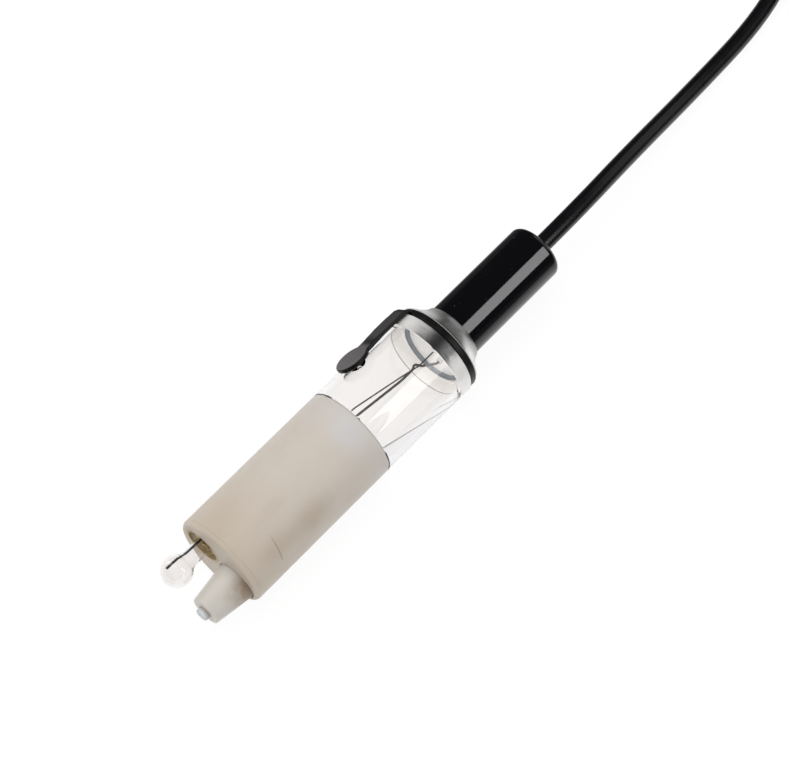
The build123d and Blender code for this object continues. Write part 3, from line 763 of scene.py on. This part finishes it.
def addWindow(values):
    outline = [
        (values["lower"], values["inner"]),
        (values["lower"], values["spigot"]),
        (values["start"], values["spigot"]),
        (values["start"], values["outer"] - values["bevel"]),
        (values["start"] + values["bevel"], values["outer"]),
        (values["end"] - values["bevel"], values["outer"]),
        (values["end"], values["outer"] - values["bevel"]),
        (values["end"], values["spigot"]),
        (values["upper"], values["spigot"]),
        (values["upper"], values["inner"]),
    ]
    piece = turned(outline, values["steps"])
    outward = Vector((0, math.cos(stopperAngle), math.sin(stopperAngle)))
    begin()
    turn = outward.to_track_quat("Z", "X").to_euler()
    bpy.ops.mesh.primitive_cylinder_add(
        vertices=64, radius=values["hole"] / 2 * mm, depth=4 * mm,
        location=spot(values["holeStation"]) + outward * values["outer"] * mm, rotation=turn,
    )
    drill = bpy.context.active_object
    applied(piece, "BOOLEAN", operation="DIFFERENCE", object=drill, solver="EXACT")
    bpy.data.objects.remove(drill)
    smooth(piece, 30)
    clear = clearFinish("windowPlastic", clearValues["window"], clearValues["windowIor"], 0.03, tide=True)
    finished(piece, "clearWindow", clear, "electrode", "window_plastic", "reservoir_tube")
    piece.visible_shadow = False


addWindow(windowValues)
print("pieces: window")

# Collar: skirt with a fine edge, groove for the band and a shoulder that falls to the cap in a hollow curve
shoulderValues = {
    "start": 61.45, "end": 65.25, "edge": 9.72, "foot": 6.45, "power": 1.45, "steps": 24, "turns": 192,
    "bore": 4.55, "floor": 61.65, "seat": 8.65, "seatEnd": 59.55, "wall": 9.25, "low": 56.7, "outer": 10.0,
    "bevel": 0.15, "top": 59.6, "topBevel": 0.1, "groove": 9.1, "grooveEnd": 61.35,
}


def addCollar(values):
    outline = []
    for step in range(values["steps"] + 1):
        share = 1 - step / values["steps"]
        station = values["end"] - (values["end"] - values["start"]) * share
        fall = (values["edge"] - values["foot"]) * share ** values["power"]
        outline.append((station, values["foot"] + fall))
    outline += [
        (values["end"], values["bore"]),
        (values["floor"], values["bore"]),
        (values["floor"], values["seat"]),
        (values["seatEnd"], values["seat"]),
        (values["seatEnd"], values["wall"]),
        (values["low"], values["wall"]),
        (values["low"], values["outer"] - values["bevel"]),
        (values["low"] + values["bevel"], values["outer"]),
        (values["top"] - values["topBevel"], values["outer"]),
        (values["top"], values["outer"] - values["topBevel"]),
        (values["top"], values["groove"]),
        (values["grooveEnd"], values["groove"]),
        (values["grooveEnd"], values["edge"] - values["topBevel"]),
    ]
    piece = turned(outline, values["turns"])
    smooth(piece, 30)
    finished(piece, "turnedCollar", collarFinish(), "electrode", "collar_metal", "top_collar")


addCollar(shoulderValues)
print("pieces: collar")

# Rubber moulding: band, strap, disc and plug in one piece
strapValues = {
    "width": 3.5, "thickness": 0.95, "radius": 10.83, "bandStart": 59.65, "bandEnd": 61.3, "bandInner": 9.15,
    "bandOuter": 9.82, "disc": 3.6, "discUnder": 10.1, "discTop": 11.1, "plugTop": 1.85, "plugFoot": 1.65,
    "plugDepth": 1.5, "plugSunk": 0.2, "station": 45.4, "voxel": 0.11, "hinge": 59.0, "bandEdge": 0.2,
    "discEdge": 0.25, "foldStart": 0.9, "foldEnd": 3.2,
    # station, distance from the axis and lean of the strap, from the band to the disc
    "path": [
        (60.8, 9.3, 88), (60.68, 9.85, 68), (60.05, 10.4, 32), (58.9, 10.76, 10), (56.0, 10.86, 0),
        (53.0, 10.84, 0), (50.8, 10.72, -4), (49.2, 10.62, -2), (47.5, 10.6, 0),
    ],
}


def addStrap(values):
    # made on top of the axis, then turned to its side
    band = turned([
        (values["bandStart"], values["bandInner"]),
        (values["bandStart"], values["bandOuter"] - values["bandEdge"]),
        (values["bandStart"] + values["bandEdge"], values["bandOuter"]),
        (values["bandEnd"] - values["bandEdge"], values["bandOuter"]),
        (values["bandEnd"], values["bandOuter"] - values["bandEdge"]),
        (values["bandEnd"], values["bandInner"]),
    ], 96)
    top = spot(0)
    path = values["path"]
    begin()
    bpy.ops.mesh.primitive_plane_add(size=1, location=(0, 0, 0), rotation=(0, math.pi / 2, 0))
    strap = bpy.context.active_object
    bpy.ops.object.transform_apply(rotation=True)
    bpy.ops.object.mode_set(mode="EDIT")
    bpy.ops.transform.resize(value=(1, values["width"] * mm, values["thickness"] * mm))
    bpy.ops.transform.translate(value=top + Vector((path[0][0] * mm, 0, path[0][1] * mm)))
    lean = 0.0
    for index, (station, radius, angle) in enumerate(path):
        centre = top + Vector((station * mm, 0, radius * mm))
        if index:
            before = path[index - 1]
            step = ((station - before[0]) * mm, 0, (radius - before[1]) * mm)
            bpy.ops.mesh.extrude_region_move(TRANSFORM_OT_translate={"value": step})
        bpy.ops.transform.rotate(value=math.radians(angle - lean), orient_axis="Y", center_override=centre)
        lean = angle
    bpy.ops.object.mode_set(mode="OBJECT")
    begin()
    discHeight = values["discTop"] - values["discUnder"]
    bpy.ops.mesh.primitive_cylinder_add(
        vertices=96, radius=values["disc"] * mm, depth=discHeight * mm,
        location=top + Vector((values["station"] * mm, 0, (values["discUnder"] + discHeight / 2) * mm)),
    )
    disc = bpy.context.active_object
    sharp = math.radians(40)
    applied(disc, "BEVEL", width=values["discEdge"] * mm, segments=2, limit_method="ANGLE", angle_limit=sharp)
    plugHeight = values["discUnder"] - values["plugDepth"] / 2 + values["plugSunk"] / 2
    begin()
    bpy.ops.mesh.primitive_cone_add(
        vertices=64, radius1=values["plugFoot"] * mm, radius2=values["plugTop"] * mm,
        depth=(values["plugDepth"] + values["plugSunk"]) * mm,
        location=top + Vector((values["station"] * mm, 0, plugHeight * mm)),
    )
    plug = bpy.context.active_object
    begin()
    for piece in (band, strap, disc, plug):
        piece.select_set(True)
    bpy.context.view_layer.objects.active = band
    bpy.ops.object.join()
    applied(band, "REMESH", mode="VOXEL", voxel_size=values["voxel"] * mm, use_smooth_shade=True)
    applied(band, "SMOOTH", factor=0.5, iterations=4)
    only(band)
    bpy.ops.object.mode_set(mode="EDIT")
    bpy.ops.mesh.select_all(action="SELECT")
    bpy.ops.transform.rotate(value=math.pi / 2 - stopperAngle, orient_axis="X", center_override=top)
    bpy.ops.object.mode_set(mode="OBJECT")
    piece = finished(band, "stopperStrap", rubber, None, "black_rubber", "filler_band", "filler_stopper")
    outward = Vector((0, math.cos(stopperAngle), math.sin(stopperAngle)))
    hinge = spot(values["hinge"]) + outward * values["radius"] * mm
    foldStart = hinge + Vector((values["foldStart"] * mm, 0, 0))
    foldEnd = hinge - Vector((values["foldEnd"] * mm, 0, 0))
    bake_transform(piece)


addStrap(strapValues)
print("pieces: rubber strap")

# Cable: one spline from the cap's socket through the hank to the plug
routeValues = {
    "start": [
        (87.95, 0.0, 10.15), (101.5, 0.0, 10.15), (121.0, 1.7, 6.9), (143.0, 3.4, 2.17), (167.0, 4.3, 1.87),
        (183.0, 8.55, 2.35),
    ],
    "hankStart": 196.0, "hankRun": 36.0, "middle": -6.0, "straightPoints": 6, "foldPoints": 6,
    # radius and height of each turn, in the order of winding
    "turns": [(14.8, 2.35), (11.1, 2.35), (11.1, 6.05), (14.8, 6.05), (14.8, 9.75), (11.1, 9.75)],
    "lastPoint": 123, "moveStart": 0.82, "moveLength": 0.16, "moveLead": 0.08,
    "end": [
        (224.0, 5.1, 10.2), (231.0, 5.5, 12.3), (238.2, 6.95, 13.9), (245.5, -0.53, 15.05),
        (245.5, -10.5, 16.85), (238.2, -18.0, 18.45), (225.0, -18.0, 18.95),
    ],
    "exit": 90.45, "length": 0.97,
}


def spotOnFloor(station, side, height):
    return Vector(((station + faceX) * mm, (side + axisY) * mm, height * mm))


def ease(value, low, length):
    share = min(max((value - low) / length, 0.0), 1.0)
    return share * share * (3 - 2 * share)


def hankPoints(values):
    # each turn has a straight run, a fold, a straight run back and a fold
    straights = values["straightPoints"]
    folds = values["foldPoints"]
    perTurn = 2 * (straights + folds)
    growth = 1 / (0.75 + 0.25 * math.cos(math.pi / folds))
    points = []
    for index in range(values["lastPoint"] + 1):
        turn = (index + 0.5) / perTurn
        radius, height = values["turns"][0]
        for order, (before, after) in enumerate(zip(values["turns"], values["turns"][1:])):
            share = ease(turn, order + values["moveStart"] - values["moveLead"] * order, values["moveLength"])
            radius += (after[0] - before[0]) * share
            height += (after[1] - before[1]) * share
        half, step = divmod(index % perTurn, straights + folds)
        if step < straights:
            along = values["hankRun"] * ((step + 0.5) / straights - 0.5)
            across = radius
        else:
            angle = math.pi * (0.5 - (step - straights + 0.5) / folds)
            along = values["hankRun"] / 2 + radius * growth * math.cos(angle)
            across = radius * growth * math.sin(angle)
        way = -1 if half else 1
        station = values["hankStart"] + values["hankRun"] / 2 + way * along
        points.append(spotOnFloor(station, values["middle"] + way * across, height))
    return points


def addCable(values):
    points = [spotOnFloor(*point) for point in values["start"]]
    points += hankPoints(values)
    points += [spotOnFloor(*point) for point in values["end"]]
    begin()
    bpy.ops.curve.primitive_nurbs_path_add(location=(0, 0, 0))
    cable = bpy.context.active_object
    spline = cable.data.splines[0]
    spline.points.add(len(points) - len(spline.points))
    for control, point in zip(spline.points, points):
        control.co = (*point, 1.0)
    spline.order_u = 3
    spline.use_endpoint_u = True
    spline.use_cyclic_u = False
    spline.resolution_u = 6
    cable.data.dimensions = "3D"
    cable.data.bevel_depth = cableValues["diameter"] / 2 * mm
    cable.data.bevel_resolution = 7
    cable.data.use_fill_caps = True
    finished(cable, "leadCable", jacket, "electrode", "cable_jacket", "cable", "cable_hank", "cable_tail")
    spot(values["exit"])


addCable(routeValues)
print("pieces: cable")

for nodeName in ("cable", "cable_hank", "cable_tail"):
    nodes[nodeName].data.materials.clear()
    nodes[nodeName].data.materials.append(jacket)
